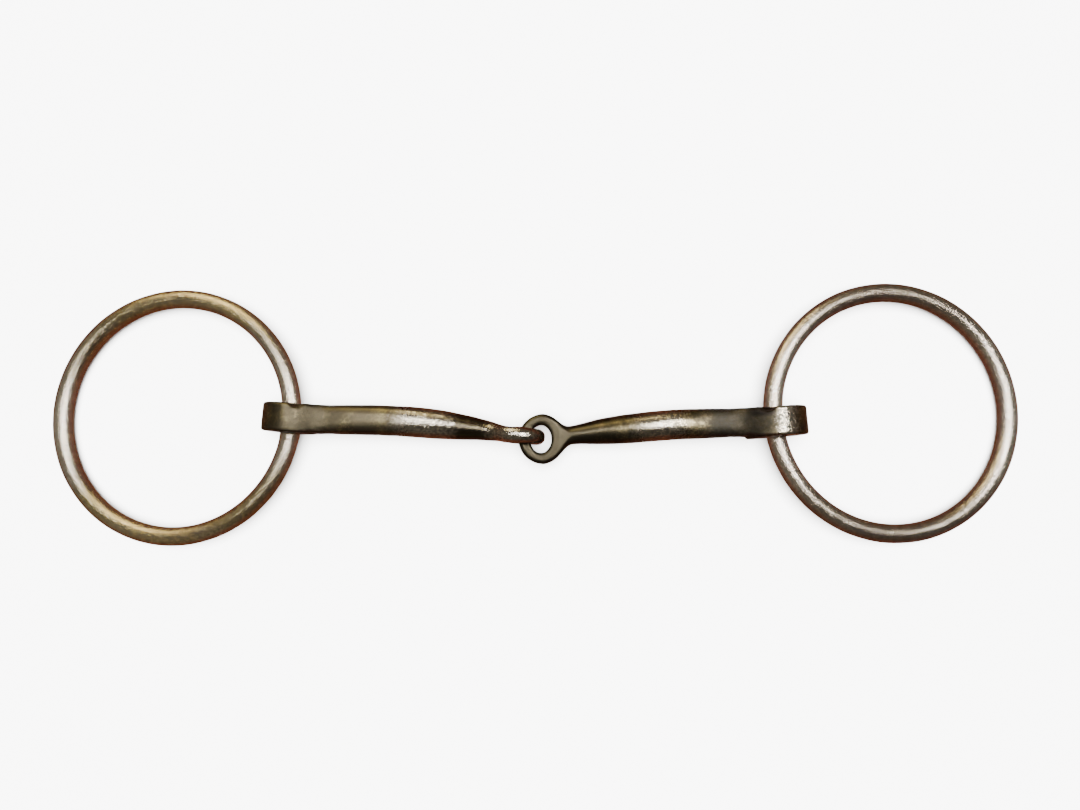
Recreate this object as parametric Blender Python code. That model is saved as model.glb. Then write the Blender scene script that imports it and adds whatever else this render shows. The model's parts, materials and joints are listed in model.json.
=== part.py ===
"""Loose-ring, single-jointed snaffle bit, lying flat. Metres, +X along the mouthpiece, +Z up.

Two rings of round bar run through the outer bosses of two forged cannons. The cannons are linked
in the middle like a chain: the left one's eye stands upright and the right one's eye lies flat.
The origin is on the surface that the bit lies on, midway between the rings.
"""

import math

import bmesh
import bpy
import numpy as np

# Rings
RING_OUTER_RADIUS = 0.035
RING_BAR_RADIUS = 0.0025
RING_SPACING = 0.1938           # between the ring centres
RING_SEGMENTS = 72
BAR_CORNER_STEPS = 4            # segments in each quarter of a section

# Ring-end bosses: short sleeves across the cannon, with the ring's bar running through along Y.
# y is where the boss sits along the ring, and yaw turns it square to its cannon.
BOSS_LENGTH = 0.0076
BOSS_HOLE_RADIUS = 0.0035
BOSS_EDGE = 0.0006              # rounding of the boss's edges and of the hole's mouths
BOSS_SEGMENTS = 44
BAR_DROP_IN_HOLE = 0.00045      # the ring's bar hangs below the middle of the hole
BAR_INBOARD_IN_HOLE = 0.0003    # and sits towards the cannon
LEFT_BOSS = {"side": -1, "radius": 0.0072, "y": -0.00095, "yaw": math.radians(-4.6)}
RIGHT_BOSS = {"side": 1, "radius": 0.0082, "y": -0.0029, "yaw": math.radians(4.0)}

# The left cannon's centre eye stands upright, so its hole runs across the bit
UPRIGHT_EYE_RADIUS = 0.0067
UPRIGHT_EYE_HOLE = 0.0035
UPRIGHT_EYE_THICKNESS = 0.0041
UPRIGHT_EYE_CENTRE = (-0.00287, -0.00595, 0.0067)
UPRIGHT_EYE_YAW = math.radians(-5.0)
EYE_EDGE = 0.0014
EYE_SEGMENTS = 44

# The right cannon's centre eye lies flat: its hole runs along Z and is longer along Y than along X
FLAT_EYE_RADIUS = 0.0067
FLAT_EYE_NECK_PULL = 0.0009     # how far the outline is drawn in on the neck's side
FLAT_EYE_HOLE_X = 0.00285
FLAT_EYE_HOLE_Y = 0.0037
FLAT_EYE_HOLE_OFFSET = -0.0007  # the hole sits away from the neck
FLAT_EYE_THICKNESS = 0.0040
FLAT_EYE_CENTRE = (0.00338, -0.00690, 0.0063)

# Cannon outlines, from the boss to the centre eye: X, Y, Z of the middle, width along Y, height along Z.
# Both ends reach inside the walls of the boss and of the eye.
LEFT_CANNON = (
    (-0.0603, -0.00127, 0.0072, 0.0076, 0.0092),
    (-0.0570, -0.00130, 0.0071, 0.0075, 0.0077),
    (-0.0500, -0.00145, 0.0071, 0.0078, 0.0077),
    (-0.0420, -0.00159, 0.0070, 0.0080, 0.0080),
    (-0.0330, -0.00203, 0.0070, 0.0081, 0.0080),
    (-0.0250, -0.00276, 0.0069, 0.0079, 0.0077),
    (-0.0190, -0.00345, 0.0068, 0.0070, 0.0070),
    (-0.0130, -0.00426, 0.0068, 0.0057, 0.0058),
    (-0.0095, -0.00490, 0.0067, 0.0049, 0.0055),
    (-0.0072, -0.00530, 0.0067, 0.0038, 0.0066),
)
RIGHT_CANNON = (
    (0.0604, -0.00290, 0.0080, 0.0076, 0.0096),
    (0.0570, -0.00292, 0.0079, 0.0073, 0.0078),
    (0.0500, -0.00302, 0.0077, 0.0077, 0.0077),
    (0.0440, -0.00312, 0.0075, 0.0080, 0.0080),
    (0.0380, -0.00333, 0.0073, 0.0081, 0.0081),
    (0.0310, -0.00385, 0.0071, 0.0080, 0.0080),
    (0.0244, -0.00442, 0.0069, 0.0077, 0.0076),
    (0.0200, -0.00482, 0.0068, 0.0071, 0.0070),
    (0.0160, -0.00525, 0.0067, 0.0062, 0.0060),
    (0.0115, -0.00578, 0.0066, 0.0051, 0.0050),
    (0.0092, -0.00610, 0.0064, 0.0060, 0.0044),
    (0.0072, -0.00650, 0.0063, 0.0084, 0.0034),
)
CANNON_RINGS = 40               # cross-sections along each cannon

# Colours (linear) of the satin steel, warmer on the left ring and greyer on the right
LEFT_RING_COLOUR = (0.40, 0.36, 0.28, 1.0)
RIGHT_RING_COLOUR = (0.38, 0.36, 0.33, 1.0)
LEFT_CANNON_COLOUR = (0.36, 0.33, 0.27, 1.0)
RIGHT_CANNON_COLOUR = (0.34, 0.32, 0.28, 1.0)

RING_CENTRE_LINE_RADIUS = RING_OUTER_RADIUS - RING_BAR_RADIUS


def rounded_section(half_width, half_height, corner):
    """A rectangle with round corners, as (across, up) points running anticlockwise."""
    corner = min(corner, half_width, half_height)
    points = []
    for quarter in range(4):
        side = 1 if quarter in (0, 3) else -1
        level = 1 if quarter in (0, 1) else -1
        for step in range(BAR_CORNER_STEPS + 1):
            angle = (quarter + step / BAR_CORNER_STEPS) * math.pi / 2
            across = side * (half_width - corner) + corner * math.cos(angle)
            up = level * (half_height - corner) + corner * math.sin(angle)
            if not points or math.dist(points[-1], (across, up)) > 1e-6:
                points.append((across, up))
    if math.dist(points[-1], points[0]) < 1e-6:
        points.pop()
    return points


def skin(name, sections, closed):
    """A mesh object over equal cross-sections, joined in a loop or capped at both ends."""
    mesh = bpy.data.meshes.new(name)
    shape = bmesh.new()
    loops = [[shape.verts.new(point) for point in section] for section in sections]
    pairs = list(zip(loops, loops[1:]))
    if closed:
        pairs.append((loops[-1], loops[0]))
    for here, there in pairs:
        for index in range(len(here)):
            following = (index + 1) % len(here)
            shape.faces.new((here[index], here[following], there[following], there[index]))
    if not closed:
        shape.faces.new(loops[0])
        shape.faces.new(loops[-1])
    bmesh.ops.recalc_face_normals(shape, faces=shape.faces)
    shape.to_mesh(mesh)
    shape.free()
    mesh.shade_smooth()
    mesh.set_sharp_from_angle(angle=math.radians(40))
    body = bpy.data.objects.new(name, mesh)
    bpy.context.scene.collection.objects.link(body)
    return body


def eyelet(name, outline, thickness, edge, segments, centre=(0, 0), axis="Y"):
    """A flat loop of metal with a hole along axis. outline(angle) gives the hole's and the rim's radii."""
    sections = []
    for index in range(segments):
        angle = 2 * math.pi * index / segments
        inner, outer = outline(angle)
        section = rounded_section((outer - inner) / 2, thickness / 2, edge)
        points = []
        for across, up in section:
            reach = (inner + outer) / 2 + across
            a = centre[0] + reach * math.cos(angle)
            b = centre[1] + reach * math.sin(angle)
            points.append((a, b, up) if axis == "Z" else (a, up, b))
        sections.append(points)
    return skin(name, sections, closed=True)


def round_outline(inner, outer):
    return lambda angle: (inner, outer)


def flat_eye_outline(angle):
    """An oval hole set off to one side, and a rim that is drawn in towards the neck."""
    rim = FLAT_EYE_RADIUS - FLAT_EYE_NECK_PULL * max(0.0, math.cos(angle))
    # distance from the rim's middle to the oval, along this angle
    across = math.cos(angle) / FLAT_EYE_HOLE_X
    along = math.sin(angle) / FLAT_EYE_HOLE_Y
    shift = FLAT_EYE_HOLE_OFFSET / FLAT_EYE_HOLE_X
    a = across**2 + along**2
    b = -2 * across * shift
    c = shift**2 - 1
    hole = (-b + math.sqrt(b * b - 4 * a * c)) / (2 * a)
    return hole, rim


def smooth_stations(stations, count):
    """The stations' values at evenly spaced places, on smooth curves through them."""
    table = np.array(stations)
    order = np.argsort(table[:, 0])
    x, values = table[order, 0], table[order, 1:]
    slopes = np.gradient(values, x, axis=0)
    places = np.linspace(x[0], x[-1], count)
    left = np.clip(np.searchsorted(x, places) - 1, 0, len(x) - 2)
    span = (x[left + 1] - x[left])[:, None]
    t = ((places - x[left]) / span[:, 0])[:, None]
    curve = (
        (2 * t**3 - 3 * t**2 + 1) * values[left]
        + (t**3 - 2 * t**2 + t) * span * slopes[left]
        + (3 * t**2 - 2 * t**3) * values[left + 1]
        + (t**3 - t**2) * span * slopes[left + 1]
    )
    return np.column_stack([places, curve])


def cannon_bar(name, stations, origin):
    """The tapering bar of a cannon, as an oval section carried along its gently curved middle."""
    sections = []
    unit_circle = rounded_section(1.0, 1.0, 1.0)
    for x, y, z, width, height in smooth_stations(stations, CANNON_RINGS):
        sections.append([
            (x - origin[0], y - origin[1] + across * width / 2, z - origin[2] + up * height / 2)
            for across, up in unit_circle
        ])
    bar = skin(name, sections, closed=False)
    bar.location = origin
    return bar


def weld_on(bar, piece):
    """Joins a forged end to its bar as one solid, and keeps the end's own mesh as a hidden guide."""
    join = bar.modifiers.new(piece.name, "BOOLEAN")
    join.operation = "UNION"
    join.object = piece
    piece.parent = bar
    piece.location = [a - b for a, b in zip(piece.location, bar.location)]
    piece.hide_render = True
    piece.display_type = "WIRE"


def ring_hinge(boss):
    """Where the ring's bar crosses the middle of its boss, how the bar is turned there, and the ring's tilt."""
    height = boss["radius"] - BAR_DROP_IN_HOLE
    tilt = math.asin((height - RING_BAR_RADIUS) / (2 * RING_CENTRE_LINE_RADIUS))
    slide = math.asin(boss["y"] / RING_CENTRE_LINE_RADIUS)
    reach = RING_CENTRE_LINE_RADIUS * math.cos(slide) * math.cos(tilt)
    place = (boss["side"] * (RING_SPACING / 2 - reach), boss["y"], height)
    return place, -boss["side"] * slide, boss["side"] * tilt


def build_ring(name, boss, colour):
    """A ring whose origin is on its hinge, tilted so that its far side rests on the surface."""
    outline = round_outline(RING_OUTER_RADIUS - 2 * RING_BAR_RADIUS, RING_OUTER_RADIUS)
    ring = eyelet(name, outline, 2 * RING_BAR_RADIUS, RING_BAR_RADIUS, RING_SEGMENTS,
                  centre=(boss["side"] * RING_CENTRE_LINE_RADIUS, 0), axis="Z")
    ring.location, yaw, tilt = ring_hinge(boss)
    ring.rotation_euler = (0, tilt, yaw)
    ring.data.materials.append(steel(name, colour, roughness=0.30))


def build_boss(name, boss):
    sleeve = eyelet(name, round_outline(BOSS_HOLE_RADIUS, boss["radius"]), BOSS_LENGTH,
                    BOSS_EDGE, BOSS_SEGMENTS)
    hinge, _, _ = ring_hinge(boss)
    sleeve.location = (hinge[0] + boss["side"] * BAR_INBOARD_IN_HOLE, boss["y"], boss["radius"])
    sleeve.rotation_euler = (0, 0, boss["yaw"])
    return sleeve


def build_left_cannon(fold_axis):
    cannon = cannon_bar("left_cannon", LEFT_CANNON, fold_axis)
    weld_on(cannon, build_boss("left_boss_guide", LEFT_BOSS))
    eye = eyelet("upright_eye_guide", round_outline(UPRIGHT_EYE_HOLE, UPRIGHT_EYE_RADIUS),
                 UPRIGHT_EYE_THICKNESS, EYE_EDGE, EYE_SEGMENTS)
    eye.location = UPRIGHT_EYE_CENTRE
    eye.rotation_euler = (0, 0, UPRIGHT_EYE_YAW)
    weld_on(cannon, eye)
    cannon.data.materials.append(steel("left_cannon", LEFT_CANNON_COLOUR, roughness=0.34))


def build_right_cannon(fold_axis):
    cannon = cannon_bar("right_cannon", RIGHT_CANNON, fold_axis)
    weld_on(cannon, build_boss("right_boss_guide", RIGHT_BOSS))
    eye = eyelet("flat_eye_guide", flat_eye_outline, FLAT_EYE_THICKNESS, EYE_EDGE,
                 EYE_SEGMENTS, axis="Z")
    eye.location = FLAT_EYE_CENTRE
    weld_on(cannon, eye)
    cannon.data.materials.append(steel("right_cannon", RIGHT_CANNON_COLOUR, roughness=0.38))


def steel(name, colour, roughness):
    material = bpy.data.materials.new(name + "_steel")
    material.use_nodes = True
    shader = material.node_tree.nodes["Principled BSDF"]
    shader.inputs["Base Color"].default_value = colour
    shader.inputs["Metallic"].default_value = 1.0
    shader.inputs["Roughness"].default_value = roughness
    return material


def middle_of_outer_wall():
    """The middle of the upright eye's far wall, which the flat eye turns round."""
    reach = (UPRIGHT_EYE_RADIUS + UPRIGHT_EYE_HOLE) / 2
    x, y, z = UPRIGHT_EYE_CENTRE
    return x + reach * math.cos(UPRIGHT_EYE_YAW), y + reach * math.sin(UPRIGHT_EYE_YAW), z


def main():
    for old in list(bpy.data.objects):
        bpy.data.objects.remove(old, do_unlink=True)
    fold_axis = middle_of_outer_wall()
    build_ring("left_ring", LEFT_BOSS, LEFT_RING_COLOUR)
    build_ring("right_ring", RIGHT_BOSS, RIGHT_RING_COLOUR)
    build_left_cannon(fold_axis)
    build_right_cannon(fold_axis)


main()
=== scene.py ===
"""The looks of the loose-ring, single-jointed snaffle bit: worn satin steel, lying flat on a pale floor.

Every piece keeps the CAD model's dimensions. The cannons are implicit surfaces, so that the bosses and the
centre eyes run into the bars with forged fillets, and the rings are swept bars that are slightly uneven.
"""
import json
import math

import bpy
import numpy as np
from mathutils import Matrix, Quaternion, Vector


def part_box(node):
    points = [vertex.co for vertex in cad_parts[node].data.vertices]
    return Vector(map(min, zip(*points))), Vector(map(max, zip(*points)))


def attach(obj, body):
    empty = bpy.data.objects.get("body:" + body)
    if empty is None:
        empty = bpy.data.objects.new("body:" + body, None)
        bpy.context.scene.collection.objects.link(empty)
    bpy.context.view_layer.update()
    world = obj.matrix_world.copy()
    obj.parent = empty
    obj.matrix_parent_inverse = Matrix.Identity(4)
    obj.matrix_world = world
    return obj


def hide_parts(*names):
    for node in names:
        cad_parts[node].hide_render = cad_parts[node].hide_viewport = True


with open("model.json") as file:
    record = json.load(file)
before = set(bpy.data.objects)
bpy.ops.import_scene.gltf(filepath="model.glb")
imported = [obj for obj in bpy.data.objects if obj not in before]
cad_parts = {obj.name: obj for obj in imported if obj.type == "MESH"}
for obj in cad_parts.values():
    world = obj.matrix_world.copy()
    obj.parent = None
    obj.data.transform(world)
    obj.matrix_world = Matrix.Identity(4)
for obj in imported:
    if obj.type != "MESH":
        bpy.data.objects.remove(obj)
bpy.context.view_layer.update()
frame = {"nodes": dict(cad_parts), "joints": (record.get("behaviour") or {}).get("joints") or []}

MM = 0.001
joints = {joint["name"]: joint for joint in frame["joints"]}

# ---------------------------------------------------------------- camera
CAMERA_PLACE = Vector((0.00587, -0.01813, 0.22381))
CAMERA_AIM = Vector((0.00239, 0.00290, 0.0))
CAMERA_ROLL = math.radians(-0.29)
SENSOR_WIDTH = 36.0
CAMERA_LENS = 27.03

# ---------------------------------------------------------------- driving dimensions, as in the CAD model
RING_BAR_RADIUS = 2.5 * MM
BOSS_LENGTH = 7.6 * MM
BOSS_HOLE_RADIUS = 3.5 * MM
BAR_INBOARD_IN_HOLE = 0.3 * MM
LEFT_BOSS = {"side": -1, "radius": 7.2 * MM, "yaw": math.radians(-4.6)}
RIGHT_BOSS = {"side": 1, "radius": 8.2 * MM, "yaw": math.radians(4.0)}
UPRIGHT_EYE = {"radius": 6.7 * MM, "hole": 3.5 * MM, "thickness": 4.1 * MM, "yaw": math.radians(-5.0),
               "centre": (-2.87 * MM, -5.95 * MM, 6.7 * MM)}
FLAT_EYE = {"radius": 6.7 * MM, "neck_pull": 0.9 * MM, "hole_x": 2.85 * MM, "hole_y": 3.7 * MM,
            "hole_offset": -0.7 * MM, "thickness": 4.0 * MM, "centre": (3.38 * MM, -6.90 * MM, 6.3 * MM)}

# Cannon outlines in millimetres, from the boss to the centre eye: X, then Y and Z of the middle,
# width along Y, height along Z, and squareness of the section, which is 2 for an oval
LEFT_CANNON = (
    (-62.5, -1.20, 7.2, 7.5, 9.0, 3.6),
    (-60.0, -1.25, 7.2, 7.5, 8.2, 3.6),
    (-57.0, -1.30, 7.1, 7.5, 7.7, 3.6),
    (-50.0, -1.45, 7.1, 7.8, 7.7, 3.4),
    (-42.0, -1.59, 7.0, 8.0, 8.0, 3.0),
    (-33.0, -2.03, 7.0, 8.1, 8.0, 2.5),
    (-25.0, -2.76, 6.9, 7.9, 7.7, 2.2),
    (-19.0, -3.45, 6.8, 7.0, 7.0, 2.1),
    (-13.0, -4.26, 6.8, 5.7, 5.8, 2.0),
    (-9.5, -4.90, 6.7, 4.7, 5.4, 2.0),
    (-7.0, -5.35, 6.7, 3.8, 5.6, 2.0),
    (-5.0, -5.65, 6.7, 3.6, 5.6, 2.0),
)
RIGHT_CANNON = (
    (63.0, -2.90, 8.1, 7.3, 9.6, 3.4),
    (60.4, -2.90, 8.0, 7.3, 8.4, 3.4),
    (57.0, -2.92, 7.9, 7.3, 7.8, 3.2),
    (50.0, -3.02, 7.7, 7.7, 7.7, 2.8),
    (44.0, -3.12, 7.5, 8.0, 8.0, 2.5),
    (38.0, -3.33, 7.3, 8.1, 8.1, 2.3),
    (31.0, -3.85, 7.1, 8.0, 8.0, 2.2),
    (24.4, -4.42, 6.9, 7.7, 7.6, 2.1),
    (20.0, -4.82, 6.8, 7.1, 7.0, 2.0),
    (16.0, -5.25, 6.7, 6.2, 6.0, 2.0),
    (11.5, -5.78, 6.5, 5.1, 4.8, 2.0),
    (9.0, -6.15, 6.4, 5.0, 4.2, 2.0),
    (6.0, -6.60, 6.3, 5.4, 3.6, 2.0),
)

# ---------------------------------------------------------------- fineness and finish of the surfaces
VOXEL = 0.2 * MM                # of the closed mesh that settles onto each cannon's surface
SETTLING_ROUNDS = 4
LONGEST_MOVE = 0.4 * MM         # of a point in one step of settling
LEAST_SLOPE = 0.05              # squared, so that points don't fly off where a shape is nearly level
RING_STEPS_ROUND = 900
RING_STEPS_ACROSS = 44
LEFT_BAR_ENDS = (-64.0 * MM, -5.0 * MM)
RIGHT_BAR_ENDS = (6.0 * MM, 64.5 * MM)
BAR_END_ROUNDING = 4.0 * MM     # where a bar's end lies hidden in its boss or eye
WIDTH_SIDES, HEIGHT_SIDES = 0, 1  # the two pairs of a bar's sides
BOSS_FILLET = 4.5 * MM
BOSS_EDGE = 0.7 * MM
UPRIGHT_EYE_FILLET = 4.5 * MM
FLAT_EYE_FILLET = 2.4 * MM
UPRIGHT_EYE_EDGE = 1.95 * MM
FLAT_EYE_EDGE = 1.1 * MM
BOSS_MOUTH = 0.8 * MM           # rounding of a hole's rims
UPRIGHT_EYE_MOUTH = 1.9 * MM
FLAT_EYE_MOUTH = 1.0 * MM
SCOOP_RADIUS = 3.1 * MM         # of the ball that the worn hollow beside each ring fits
SCOOP_BLEND = 0.5 * MM
LEFT_SCOOP = (-60.6 * MM, 4.2 * MM, 15.0 * MM)
RIGHT_SCOOP = (60.5 * MM, 2.3 * MM, 16.6 * MM)
RING_RADIUS = 32.5 * MM         # of the middle of the bar
WELD_ANGLE = math.radians(-9.6)
WELD_HALF_LENGTH = 1.3 * MM
WELD_PROUD = 0.12 * MM
FORGED_UNEVENNESS = 0.035 * MM
BENT_UNEVENNESS = 0.02 * MM
WAVES_AT_ONCE = 16
WAVE_PEAK = 1.6                 # of such a sum of waves, over the root of their number

# ---------------------------------------------------------------- metals
DRAWN = 0.12                    # share that is left of a length, so that noise draws out into marks along it
NOISE_LOW, NOISE_HIGH = 0.3, 0.7
# Painted shadow: black for the shadow in the gap beside each ring, where its bar enters the boss.
PAINTED_GAP_SHADOW = (0.015, 0.013, 0.012, 1)
POLISHED_ROUGHNESS = 0.13
PITTED_ROUGHNESS = 0.5
BRUSHED = 0.95                  # how strongly a ring's highlights are drawn out across its bar
QUARTER_TURN = 0.25
# Partly painted reflection: the warm ends of Y stand for the window light mirrored there, darker on the
# right ring.
LEFT_RING_STEEL = {
    "warm": (0.40, 0.34, 0.205, 1), "cool": (0.44, 0.395, 0.335, 1), "dark": (0.18, 0.145, 0.10, 1)}
RIGHT_RING_STEEL = {
    "warm": (0.29, 0.25, 0.205, 1), "cool": (0.42, 0.37, 0.32, 1), "dark": (0.12, 0.105, 0.09, 1)}

# Tarnish goes from olive to dark, and its roughness is satin. The lengths that are polished, pitted, or
# painted darker run from X to X in millimetres, with a softness at their ends; the darker lengths are a
# painted dark reflection of the unlit room that the bar mirrors there. A box in X and Y is painted black, as
# the shadow in the gap beside the ring.
LEFT_CANNON_STEEL = {
    "bright": (0.35, 0.32, 0.275, 1), "olive": (0.125, 0.103, 0.056, 1), "dark": (0.046, 0.039, 0.026, 1),
    "grime": (0.038, 0.033, 0.024, 1), "satin": 0.40, "polished": [(-34, 5, 5)],
    "painted_dark_spans": [(-49, -41, 3), (-21, -11, 2)], "pitted": [(-61.5, -53, 3)],
    "gap_shadow_box": [(-59, -57), (2.4, 6)]}
RIGHT_CANNON_STEEL = {
    "bright": (0.42, 0.375, 0.31, 1), "olive": (0.15, 0.122, 0.066, 1), "dark": (0.028, 0.024, 0.016, 1),
    "grime": (0.030, 0.028, 0.026, 1), "satin": 0.33, "polished": [(30, 38, 5), (64, 68, 1.5)],
    "painted_dark_spans": [(-10, 21, 5)], "pitted": [(45, 62, 4)], "gap_shadow_box": [(57, 63), (-1.7, 3)]}

# ---------------------------------------------------------------- light
LAMPLIGHT = (1.0, 0.99, 0.95)
WINDOW_LIGHT = (1.0, 0.84, 0.45)
WHITE_LIGHT = (1.0, 1.0, 1.0)
PALE_PAPER = (0.85, 0.85, 0.85, 1)
PALE_BACKDROP = (0.9, 0.9, 0.9, 1)
ROOM_FRONT_LEFT = (0.33, 0.30, 0.24, 1)
ROOM_FRONT_RIGHT = (0.13, 0.115, 0.10, 1)
ROOM_BACK = (0.36, 0.32, 0.25, 1)
ROOM_BELOW = (0.30, 0.11, 0.06, 1)


# ================================================================ numbers
def spline(knots):
    """A natural cubic spline through rows of (place, values...), as a function of place."""
    table = np.array(sorted(knots))
    x, y = table[:, 0], table[:, 1:]
    step = np.diff(x)
    rise = np.diff(y, axis=0) / step[:, None]
    system = np.eye(len(x))
    bends = np.zeros_like(y)
    for i in range(1, len(x) - 1):
        system[i, i - 1:i + 2] = step[i - 1], 2 * (step[i - 1] + step[i]), step[i]
        bends[i] = 6 * (rise[i] - rise[i - 1])
    bends = np.linalg.solve(system, bends)

    def at(place):
        place = np.clip(place, x[0], x[-1])
        i = np.clip(np.searchsorted(x, place) - 1, 0, len(x) - 2)
        h = step[i][:, None]
        before, after = (place - x[i])[:, None], (x[i + 1] - place)[:, None]
        return (
            bends[i] * after**3 / (6 * h) + bends[i + 1] * before**3 / (6 * h)
            + (y[i] / h - bends[i] * h / 6) * after
            + (y[i + 1] / h - bends[i + 1] * h / 6) * before
        )

    return at


def smooth_min(a, b, reach):
    """The lesser of a and b, rounded off where they are within reach of each other."""
    share = np.clip(0.5 + 0.5 * (b - a) / reach, 0, 1)
    return b * (1 - share) + a * share - reach * share * (1 - share)


def smooth_max(a, b, reach):
    return -smooth_min(-a, -b, reach)


def waves(seed, size):
    """Smooth random unevenness from -1 to 1 with features of about that size, as a function of points."""
    random = np.random.default_rng(seed)
    directions = random.normal(size=(WAVES_AT_ONCE, 3))
    directions /= np.linalg.norm(directions, axis=1)[:, None]
    lengths = size * random.uniform(0.7, 1.8, WAVES_AT_ONCE)
    phases = random.uniform(0, 2 * np.pi, WAVES_AT_ONCE)
    turns = (directions * (2 * np.pi / lengths)[:, None]).T

    def at(points):
        return np.sin(points @ turns + phases).sum(1) / WAVES_AT_ONCE**0.5 / WAVE_PEAK

    return at


# ================================================================ shapes as distances, negative inside
def turned(points, centre, yaw):
    """The points as seen from a shape that stands at centre and is turned about Z by yaw."""
    x, y, z = (points - np.array(centre)).T
    cos, sin = math.cos(yaw), math.sin(yaw)
    return x * cos + y * sin, y * cos - x * sin, z


def rounded_corner(a, b, edge):
    """Two faces at right angles that meet in an edge of that radius."""
    a, b = a + edge, b + edge
    return np.hypot(np.maximum(a, 0), np.maximum(b, 0)) + np.minimum(np.maximum(a, b), 0) - edge


def boss_centre(name, boss):
    """The middle of a boss, whose hole is a little outboard of the ring's bar. It lies on the floor."""
    x, y, _ = joints[name]["pos_m"]
    return x + boss["side"] * BAR_INBOARD_IN_HOLE, y, boss["radius"]


def boss_shapes(boss, centre):
    """The solid of a boss and its hole, as two distances. The eyes' functions give the same."""
    def solid(points):
        x, y, z = turned(points, centre, boss["yaw"])
        return rounded_corner(np.hypot(x, z) - boss["radius"], np.abs(y) - BOSS_LENGTH / 2, BOSS_EDGE)

    def hole(points):
        x, _, z = turned(points, centre, boss["yaw"])
        return BOSS_HOLE_RADIUS - np.hypot(x, z)

    return solid, hole


def upright_eye_shapes():
    eye = UPRIGHT_EYE

    def solid(points):
        x, y, z = turned(points, eye["centre"], eye["yaw"])
        sides = np.abs(y) - eye["thickness"] / 2
        return rounded_corner(np.hypot(x, z) - eye["radius"], sides, UPRIGHT_EYE_EDGE)

    def hole(points):
        x, _, z = turned(points, eye["centre"], eye["yaw"])
        return eye["hole"] - np.hypot(x, z)

    return solid, hole


def flat_eye_shapes():
    eye = FLAT_EYE

    def solid(points):
        x, y, z = turned(points, eye["centre"], 0.0)
        reach = np.hypot(x, y)
        rim = eye["radius"] - eye["neck_pull"] * np.maximum(0, x / np.maximum(reach, 1e-9))
        return rounded_corner(reach - rim, np.abs(z) - eye["thickness"] / 2, FLAT_EYE_EDGE)

    def hole(points):
        x, y, _ = turned(points, eye["centre"], 0.0)
        oval = np.hypot((x - eye["hole_offset"]) / eye["hole_x"], y / eye["hole_y"])
        return (1 - oval) * min(eye["hole_x"], eye["hole_y"])

    return solid, hole


def bar_shape(outline):
    """The bar, and the slabs between its two pairs of sides, in the order of WIDTH_SIDES, HEIGHT_SIDES."""
    profile = spline(outline)

    def shapes(points):
        stations = profile(points[:, 0] / MM).T
        y, z, width, height = stations[:4] * MM
        square = stations[4]
        across, up = np.abs(points[:, 1] - y), np.abs(points[:, 2] - z)
        reach = ((2 * across / width) ** square + (2 * up / height) ** square) ** (1 / square)
        return (reach - 1) * np.minimum(width, height) / 2, across - width / 2, up - height / 2

    return shapes


def forging(bar, bar_ends, ends, scoop, seed):
    """A bar with a forged end at each side. An end is a solid, its hole, the fillet, the rounding of the
    hole's rims, and the sides of the bar that the fillet stays between. The scoop is the middle of the worn
    hollow beside the ring."""
    rough = waves(seed, 7 * MM)

    def shape(points):
        x = points[:, 0]
        body, *sides = bar(points)
        body = smooth_max(body, np.maximum(bar_ends[0] - x, x - bar_ends[1]), BAR_END_ROUNDING)
        for solid, _, fillet, _, kept in ends:
            end = solid(points)
            allowed = np.minimum(np.minimum(sides[kept], end), body)
            body = np.maximum(smooth_min(body, end, fillet), allowed)
        for _, hole, _, mouth, _ in ends:
            body = smooth_max(body, hole(points), mouth)
        worn = SCOOP_RADIUS - np.linalg.norm(points - np.array(scoop), axis=1)
        body = smooth_max(body, worn, SCOOP_BLEND)
        body = np.maximum(body, -points[:, 2])
        return body + FORGED_UNEVENNESS * rough(points)

    return shape


# ================================================================ meshes
def coordinates(mesh):
    """The places of a mesh's vertices, one to a row."""
    flat = np.empty(len(mesh.vertices) * 3, np.float32)
    mesh.vertices.foreach_get("co", flat)
    return flat.reshape(-1, 3).astype(float)


def slope(shape, points, step=0.01 * MM):
    """The direction in which a distance grows, at each point."""
    result = np.empty_like(points)
    for axis in range(3):
        offset = np.zeros(3)
        offset[axis] = step
        result[:, axis] = (shape(points + offset) - shape(points - offset)) / (2 * step)
    return result


def settle(points, shape, steps):
    """Moves the points onto the surface where the distance is nought."""
    for _ in range(steps):
        gradient = slope(shape, points)
        steepness = np.maximum((gradient**2).sum(1), LEAST_SLOPE)
        move = shape(points)[:, None] * gradient / steepness[:, None]
        length = np.linalg.norm(move, axis=1)[:, None]
        points = points - move * np.minimum(1, LONGEST_MOVE / np.maximum(length, 1e-12))
    return points


def relaxed(points, edges):
    """Each point moved halfway to the middle of its neighbours."""
    sums = np.zeros_like(points)
    counts = np.zeros(len(points))
    for here, there in (edges.T, edges.T[::-1]):
        np.add.at(sums, here, points[there])
        np.add.at(counts, here, 1)
    return (points + sums / counts[:, None]) / 2


def forged_mesh(name, node, shape):
    """A fine closed mesh on the surface of a shape, begun from the CAD node that it replaces."""
    source = bpy.data.objects.new(name + "_start", frame["nodes"][node].data.copy())
    bpy.context.scene.collection.objects.link(source)
    remesh = source.modifiers.new("remesh", "REMESH")
    remesh.mode = "VOXEL"
    remesh.voxel_size = VOXEL
    bpy.context.view_layer.update()
    evaluated = source.evaluated_get(bpy.context.evaluated_depsgraph_get())
    mesh = bpy.data.meshes.new_from_object(evaluated)
    bpy.data.objects.remove(source)
    edges = np.empty(len(mesh.edges) * 2, np.int32)
    mesh.edges.foreach_get("vertices", edges)
    edges = edges.reshape(-1, 2)
    points = settle(coordinates(mesh), shape, steps=6)
    for _ in range(SETTLING_ROUNDS):
        points = settle(relaxed(points, edges), shape, steps=2)
    points = settle(points, shape, steps=3)
    mesh.vertices.foreach_set("co", points.astype(np.float32).ravel())
    return finished(name, mesh)


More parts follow.
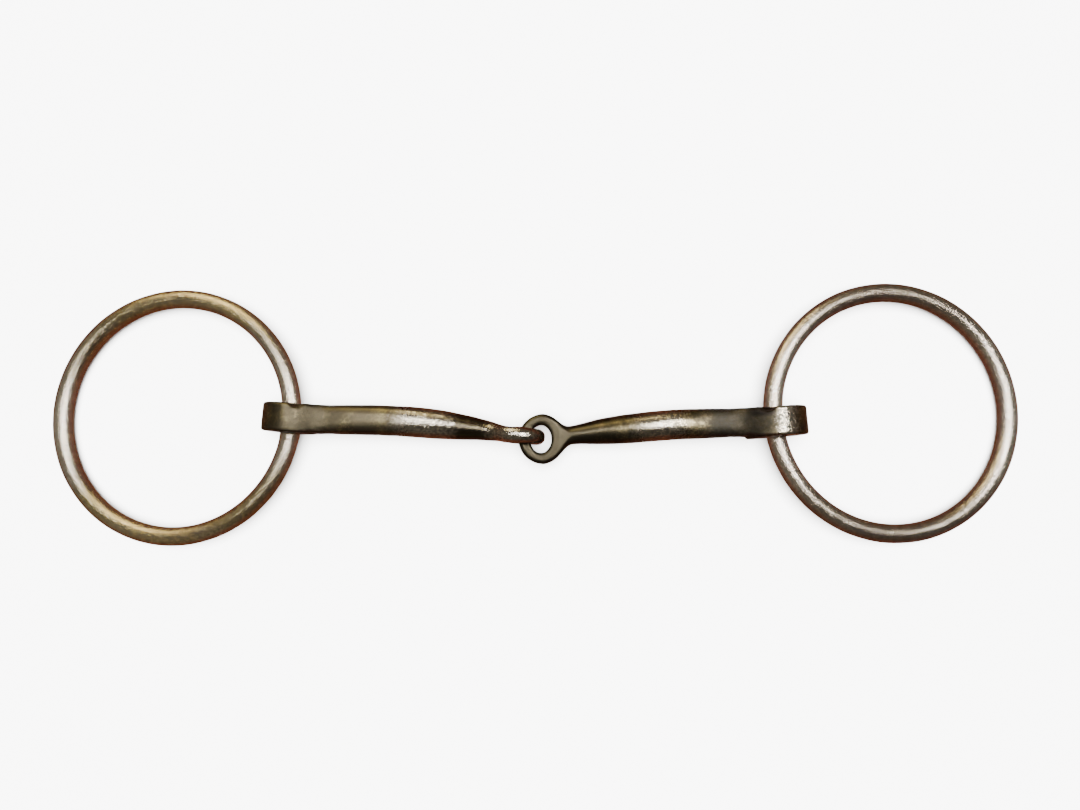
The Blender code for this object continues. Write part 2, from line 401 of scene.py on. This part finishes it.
def finished(name, mesh):
    """A new object with that mesh, shaded smooth and still without a material."""
    mesh.materials.clear()
    mesh.shade_smooth()
    mesh.update()
    piece = bpy.data.objects.new(name, mesh)
    bpy.context.scene.collection.objects.link(piece)
    return piece


def weld(distance):
    """How proud the ground-back weld stands, at a distance along the bar from its middle."""
    return WELD_PROUD * np.exp(-((distance / WELD_HALF_LENGTH) ** 2))


def ring_mesh(name, node, joint, seed, welded):
    """A bar of round section bent to a ring, tilted as the CAD ring is."""
    low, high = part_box(node)
    ring_radius = (high.y - low.y) / 2 - RING_BAR_RADIUS
    hinge = Vector(joints[joint]["pos_m"])
    side = math.copysign(1, hinge.x)
    tilt = math.asin((hinge.z - RING_BAR_RADIUS) / (2 * ring_radius))
    far_reach = (high.x if side > 0 else -low.x) - RING_BAR_RADIUS
    centre = Vector((side * (far_reach - ring_radius * math.cos(tilt)), 0,
                     RING_BAR_RADIUS + ring_radius * math.sin(tilt)))
    around = np.linspace(0, 2 * np.pi, RING_STEPS_ROUND, endpoint=False)
    across = np.linspace(0, 2 * np.pi, RING_STEPS_ACROSS, endpoint=False)
    a, b = (grid.ravel() for grid in np.meshgrid(around, across, indexing="ij"))
    outward = np.column_stack([np.cos(a), np.sin(a), np.zeros_like(a)])
    normal = outward * np.cos(b)[:, None] + np.array([0, 0, 1]) * np.sin(b)[:, None]
    points = outward * ring_radius + normal * RING_BAR_RADIUS
    proud = BENT_UNEVENNESS * waves(seed, 9 * MM)(points)
    if welded:
        proud += weld(np.angle(np.exp(1j * (a - WELD_ANGLE))) * ring_radius)
    points += normal * proud[:, None]
    grid = np.arange(len(points)).reshape(RING_STEPS_ROUND, RING_STEPS_ACROSS)
    following = np.roll(grid, -1, axis=0)
    faces = np.stack([grid, following, np.roll(following, -1, axis=1), np.roll(grid, -1, axis=1)], axis=-1)
    mesh = bpy.data.meshes.new(name)
    mesh.from_pydata(points.tolist(), [], faces.reshape(-1, 4).tolist())
    ring = finished(name, mesh)
    ring.location = centre
    ring.rotation_euler = (0, side * tilt, 0)
    return ring


# ================================================================ materials
class Nodes:
    """Short names for building the node tree of a material or of the world."""

    def __init__(self, owner):
        owner.use_nodes = True
        self.owner = owner
        self.tree = owner.node_tree
        self.shader = self.tree.nodes.get("Principled BSDF") or self.tree.nodes["Background"]

    def add(self, kind, settings=None, **inputs):
        """A node with its settings, and its inputs by name, each a value or another node's output."""
        node = self.tree.nodes.new(kind)
        for key, value in (settings or {}).items():
            setattr(node, key, value)
        for key, value in inputs.items():
            socket = node.inputs[int(key[1:]) if key[0] == "_" else key.replace("_", " ")]
            if isinstance(value, bpy.types.NodeSocket):
                self.tree.links.new(value, socket)
            else:
                socket.default_value = value
        return node.outputs

    def math(self, operation, a, b=0.0, clamp=False):
        return self.add("ShaderNodeMath", {"operation": operation, "use_clamp": clamp}, _0=a, _1=b)[0]

    def vector(self, operation, a, b=(0, 0, 0)):
        key = "Scale" if operation == "SCALE" else "_1"
        return self.add("ShaderNodeVectorMath", {"operation": operation}, **{"_0": a, key: b})[0]

    def place(self):
        """Where a point is on its piece, in millimetres."""
        spot = self.add("ShaderNodeTexCoord")["Object"]
        return self.vector("SCALE", spot, 1 / MM)

    def axes(self, place):
        return self.add("ShaderNodeSeparateXYZ", {}, Vector=place)

    def noise(self, place, size, detail, roughness=0.55):
        """Noise from 0 to 1 with features of about that size in millimetres."""
        return self.add("ShaderNodeTexNoise", {}, Vector=place, Scale=1.0 / size, Detail=detail,
                        Roughness=roughness)["Fac"]

    def ramp(self, value, low, high, to_low=0.0, to_high=1.0):
        """value carried from the range low..high to the range to_low..to_high, smoothly and no further."""
        return self.add("ShaderNodeMapRange", {"interpolation_type": "SMOOTHSTEP"}, Value=value,
                        From_Min=low, From_Max=high, To_Min=to_low, To_Max=to_high)["Result"]

    def band(self, value, low, high, soft):
        """1 between low and high, fading to 0 over soft on both sides."""
        rise = self.ramp(value, low - soft, low + soft)
        fall = self.ramp(value, high - soft, high + soft, 1.0, 0.0)
        return self.math("MULTIPLY", rise, fall)

    def lengths(self, value, spans):
        """1 where the value is in one of the spans, each low, high and softness."""
        total = 0.0
        for low, high, soft in spans:
            total = self.math("ADD", total, self.band(value, low, high, soft), clamp=True)
        return total

    def mix(self, share, a, b):
        """The colour a, with that share of b."""
        return self.add("ShaderNodeMix", {"data_type": "RGBA"}, _0=share, _6=a, _7=b)[2]

    def blend(self, share, a, b):
        """The number a, with that share of b."""
        return self.add("ShaderNodeMix", {"data_type": "FLOAT"}, _0=share, _2=a, _3=b)[0]

    def finish(self, colour, roughness, heights):
        """Wires the surface up. heights is a list of (height, depth in metres) for the bump."""
        normal = None
        for height, depth in heights:
            extra = {} if normal is None else {"Normal": normal}
            normal = self.add("ShaderNodeBump", {}, Height=height, Distance=depth, Strength=1.0, **extra)[0]
        links = self.tree.links
        links.new(colour, self.shader.inputs["Base Color"])
        links.new(roughness, self.shader.inputs["Roughness"])
        links.new(normal, self.shader.inputs["Normal"])
        self.shader.inputs["Metallic"].default_value = 1.0
        return self.owner


def brush(nodes):
    """Spreads the highlights across a ring's bar."""
    nodes.shader.inputs["Anisotropic"].default_value = BRUSHED
    nodes.shader.inputs["Anisotropic Rotation"].default_value = QUARTER_TURN
    around = nodes.add("ShaderNodeTangent", {"direction_type": "RADIAL", "axis": "Z"})[0]
    nodes.tree.links.new(around, nodes.shader.inputs["Tangent"])


def drawn_to_middle(nodes, place):
    """The place brought near the middle of a ring's bar, so that noise there draws out across the bar."""
    outward = nodes.vector("NORMALIZE", nodes.vector("MULTIPLY", place, (1, 1, 0)))
    middle = nodes.vector("SCALE", outward, RING_RADIUS / MM)
    offset = nodes.vector("SUBTRACT", place, middle)
    return nodes.vector("ADD", middle, nodes.vector("SCALE", offset, DRAWN))


def ring_steel(name, warm, cool, dark):
    """Satin bar, brushed across, with stains and grain: warm towards the ends of Y and cool between. The
    warm
    ends are partly painted reflection: of the warm window light on the left ring, and on the right ring,
    whose ends are darker, of the dim room.
    """
    nodes = Nodes(bpy.data.materials.new(name))
    place = nodes.place()
    cross_marks = nodes.noise(drawn_to_middle(nodes, place), size=0.4, detail=4.0, roughness=0.65)
    grain = nodes.noise(place, size=0.6, detail=3.0, roughness=0.65)
    dents = nodes.noise(place, size=2.6, detail=2.0)
    patches = nodes.noise(place, size=9.0, detail=3.0)
    stains = nodes.noise(place, size=1.2, detail=4.0, roughness=0.6)
    reach_y = nodes.math("ABSOLUTE", nodes.axes(place)["Y"])
    stray = nodes.ramp(patches, NOISE_LOW, NOISE_HIGH, -0.4, 0.4)
    # Partly painted reflection towards the ends of Y, where the rings mirror the window; patches add the
    # steel's own tone.
    window_tint_and_tone = nodes.math("ADD", nodes.ramp(reach_y, 10.0, 30.0), stray, clamp=True)
    colour = nodes.mix(window_tint_and_tone, cool, warm)
    colour = nodes.mix(nodes.ramp(stains, 0.50, 0.70, 0.0, 0.4), colour, dark)
    colour = nodes.mix(nodes.ramp(grain, 0.38, 0.60, 0.5, 0.0), colour, dark)
    roughness = nodes.ramp(patches, NOISE_LOW, NOISE_HIGH, 0.17, 0.21)
    brush(nodes)
    return nodes.finish(colour, roughness, [
        (dents, 0.03 * MM), (cross_marks, 0.045 * MM), (grain, 0.15 * MM)])


def worn_places(nodes, place, polished, painted_dark_spans, pitted, gap_shadow_box):
    """How far a cannon is polished, painted darker as a dark reflection, pitted, and painted black as the
    shadow in the gap beside the ring, at a place, each from 0 to 1.
    """
    axes = nodes.axes(place)
    ragged = nodes.noise(place, size=0.9, detail=4.0, roughness=0.6)
    wander = nodes.math("ADD", axes["X"], nodes.ramp(ragged, NOISE_LOW, NOISE_HIGH, -1.5, 1.5))
    shine, painted_darkness, pitting = (nodes.lengths(wander, spans) for spans in (polished, painted_dark_spans, pitted))
    along, across = gap_shadow_box
    along = nodes.band(axes["X"], *along, soft=1.2)
    across = nodes.band(axes["Y"], *across, soft=0.7)
    return shine, painted_darkness, pitting, nodes.math("MULTIPLY", along, across)


def forged_steel(name, bright, olive, dark, grime, satin, **worn):
    """Forged steel: satin tarnish, with lengths that are polished or pitted and grimy, lengths painted
    darker as a dark reflection of the unlit room, and a box painted black as the shadow in the gap beside
    the ring.
    """
    nodes = Nodes(bpy.data.materials.new(name))
    place = nodes.place()
    along_marks = nodes.noise(nodes.vector("MULTIPLY", place, (DRAWN, 1, 1)), size=0.25, detail=3.0)
    grain = nodes.noise(place, size=0.6, detail=4.0, roughness=0.65)
    patches = nodes.noise(place, size=6.0, detail=3.0)
    stains = nodes.noise(place, size=0.9, detail=4.0, roughness=0.65)
    shine, painted_darkness, pitting, gap_shadow_share = worn_places(nodes, place, **worn)
    colour = nodes.mix(nodes.ramp(patches, 0.36, 0.64), olive, dark)
    # Painted dark reflection: the darker lengths stand for the unlit room that the bar mirrors there.
    colour = nodes.mix(painted_darkness, nodes.mix(shine, colour, bright), dark)
    colour = nodes.mix(nodes.math("MULTIPLY", pitting, 0.85), colour, grime)
    colour = nodes.mix(nodes.ramp(stains, 0.44, 0.62, 0.0, 0.35), colour, dark)
    colour = nodes.mix(nodes.ramp(grain, 0.38, 0.60, 0.45, 0.0), colour, dark)
    colour = nodes.mix(nodes.ramp(along_marks, 0.38, 0.60, 0.35, 0.0), colour, dark)
    # Painted shadow: the box beside the ring is painted black for the shadow in the gap there.
    colour = nodes.mix(gap_shadow_share, colour, PAINTED_GAP_SHADOW)
    roughness = nodes.blend(pitting, nodes.blend(shine, satin, POLISHED_ROUGHNESS), PITTED_ROUGHNESS)
    roughness = nodes.math("ADD", roughness, nodes.ramp(patches, NOISE_LOW, NOISE_HIGH, -0.02, 0.04))
    pits = nodes.math("MULTIPLY", nodes.ramp(stains, 0.42, 0.58), nodes.math("ADD", pitting, 0.15))
    sparkle = nodes.math("MULTIPLY", grain, nodes.math("ADD", shine, 0.4))
    return nodes.finish(colour, roughness, [
        (along_marks, 0.012 * MM), (sparkle, 0.07 * MM), (pits, -0.03 * MM)])


# ================================================================ the pieces
def build_cannons():
    left_boss = boss_shapes(LEFT_BOSS, boss_centre("left_ring_swing", LEFT_BOSS))
    right_boss = boss_shapes(RIGHT_BOSS, boss_centre("right_ring_swing", RIGHT_BOSS))
    left_ends = (
        (*left_boss, BOSS_FILLET, BOSS_MOUTH, WIDTH_SIDES),
        (*upright_eye_shapes(), UPRIGHT_EYE_FILLET, UPRIGHT_EYE_MOUTH, WIDTH_SIDES))
    right_ends = (
        (*right_boss, BOSS_FILLET, BOSS_MOUTH, WIDTH_SIDES),
        (*flat_eye_shapes(), FLAT_EYE_FILLET, FLAT_EYE_MOUTH, HEIGHT_SIDES))
    left = forging(bar_shape(LEFT_CANNON), LEFT_BAR_ENDS, left_ends, LEFT_SCOOP, seed=3)
    right = forging(bar_shape(RIGHT_CANNON), RIGHT_BAR_ENDS, right_ends, RIGHT_SCOOP, seed=8)
    for side, shape, steel in (("left", left, LEFT_CANNON_STEEL), ("right", right, RIGHT_CANNON_STEEL)):
        piece = forged_mesh(side + "_forging", side + "_cannon", shape)
        piece.data.materials.append(forged_steel(side + "_cannon_steel", **steel))
        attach(piece, side + "_cannon")
        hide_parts(side + "_cannon")


def build_rings():
    rings = (("left", 11, True, LEFT_RING_STEEL), ("right", 17, False, RIGHT_RING_STEEL))
    for side, seed, welded, steel in rings:
        piece = ring_mesh(side + "_ring_bar", side + "_ring", side + "_ring_swing", seed, welded)
        piece.data.materials.append(ring_steel(side + "_ring_steel", **steel))
        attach(piece, side + "_ring")
        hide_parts(side + "_ring")


# ================================================================ stage
def build_camera():
    data = bpy.data.cameras.new("camera")
    data.sensor_width = SENSOR_WIDTH
    data.lens = CAMERA_LENS
    data.clip_start = 0.01
    camera = bpy.data.objects.new("camera", data)
    camera.location = CAMERA_PLACE
    camera.rotation_mode = "QUATERNION"
    back = (CAMERA_PLACE - CAMERA_AIM).normalized()
    right = Vector((0, 1, 0)).cross(back).normalized()
    level = Matrix((right, back.cross(right), back)).transposed().to_quaternion()
    camera.rotation_quaternion = level @ Quaternion((0, 0, 1), CAMERA_ROLL)
    bpy.context.scene.collection.objects.link(camera)
    bpy.context.scene.camera = camera


def build_floor():
    reach = 3.0
    mesh = bpy.data.meshes.new("floor")
    corners = [(-reach, -reach, 0), (reach, -reach, 0), (reach, reach, 0), (-reach, reach, 0)]
    mesh.from_pydata(corners, [], [(0, 1, 2, 3)])
    floor = bpy.data.objects.new("floor", mesh)
    bpy.context.scene.collection.objects.link(floor)
    material = bpy.data.materials.new("floor_paper")
    material.use_nodes = True
    shader = material.node_tree.nodes["Principled BSDF"]
    shader.inputs["Base Color"].default_value = PALE_PAPER
    shader.inputs["Roughness"].default_value = 0.9
    mesh.materials.append(material)
    floor.visible_glossy = False


def softbox(name, place, width, height, radiance, colour):
    """An oval soft light that faces the bit, whose face shines with that radiance."""
    data = bpy.data.lights.new(name, "AREA")
    data.shape = "ELLIPSE"
    data.size = width
    data.size_y = height
    oval = math.pi * width * height / 4
    data.energy = radiance * math.pi * oval
    data.color = colour
    light = bpy.data.objects.new(name, data)
    light.location = place
    light.rotation_mode = "QUATERNION"
    light.rotation_quaternion = Vector(place).to_track_quat("Z", "Y")
    light.visible_camera = False
    bpy.context.scene.collection.objects.link(light)
    return light


def build_lights():
    """Three lights that only the steel mirrors, and one that only lights the floor."""
    mirrored = (
        softbox("overhead_right_softbox", (0.120, 0.045, 0.33), width=0.105, height=0.11,
                radiance=90.0, colour=LAMPLIGHT),
        softbox("overhead_left_softbox", (-0.086, 0.05, 0.33), width=0.042, height=0.10,
                radiance=85.0, colour=LAMPLIGHT),
        softbox("warm_window_softbox", (-0.22, 0.50, 0.34), width=0.42, height=0.20,
                radiance=16.0, colour=WINDOW_LIGHT),
    )
    for light in mirrored:
        light.visible_diffuse = False
    fill = softbox("floor_fill", (0, 0, 2.0), width=1.6, height=1.6, radiance=75.0, colour=WHITE_LIGHT)
    fill.visible_glossy = False


def build_world():
    """The room that the steel reflects: bright towards +Y and to the left, and red-brown below."""
    bpy.context.scene.world = bpy.data.worlds.new("studio")
    nodes = Nodes(bpy.context.scene.world)
    way = nodes.axes(nodes.add("ShaderNodeTexCoord")["Generated"])
    front = nodes.mix(nodes.ramp(way["X"], -0.5, 0.5), ROOM_FRONT_LEFT, ROOM_FRONT_RIGHT)
    room = nodes.mix(nodes.ramp(way["Y"], -0.6, 0.5), front, ROOM_BACK)
    around = nodes.mix(nodes.ramp(way["Z"], -0.25, 0.35), ROOM_BELOW, room)
    seen = nodes.add("ShaderNodeLightPath")["Is Camera Ray"]
    shown = nodes.mix(seen, around, PALE_BACKDROP)
    nodes.tree.links.new(shown, nodes.shader.inputs["Color"])


build_camera()
build_floor()
build_lights()
build_world()
build_rings()
build_cannons()
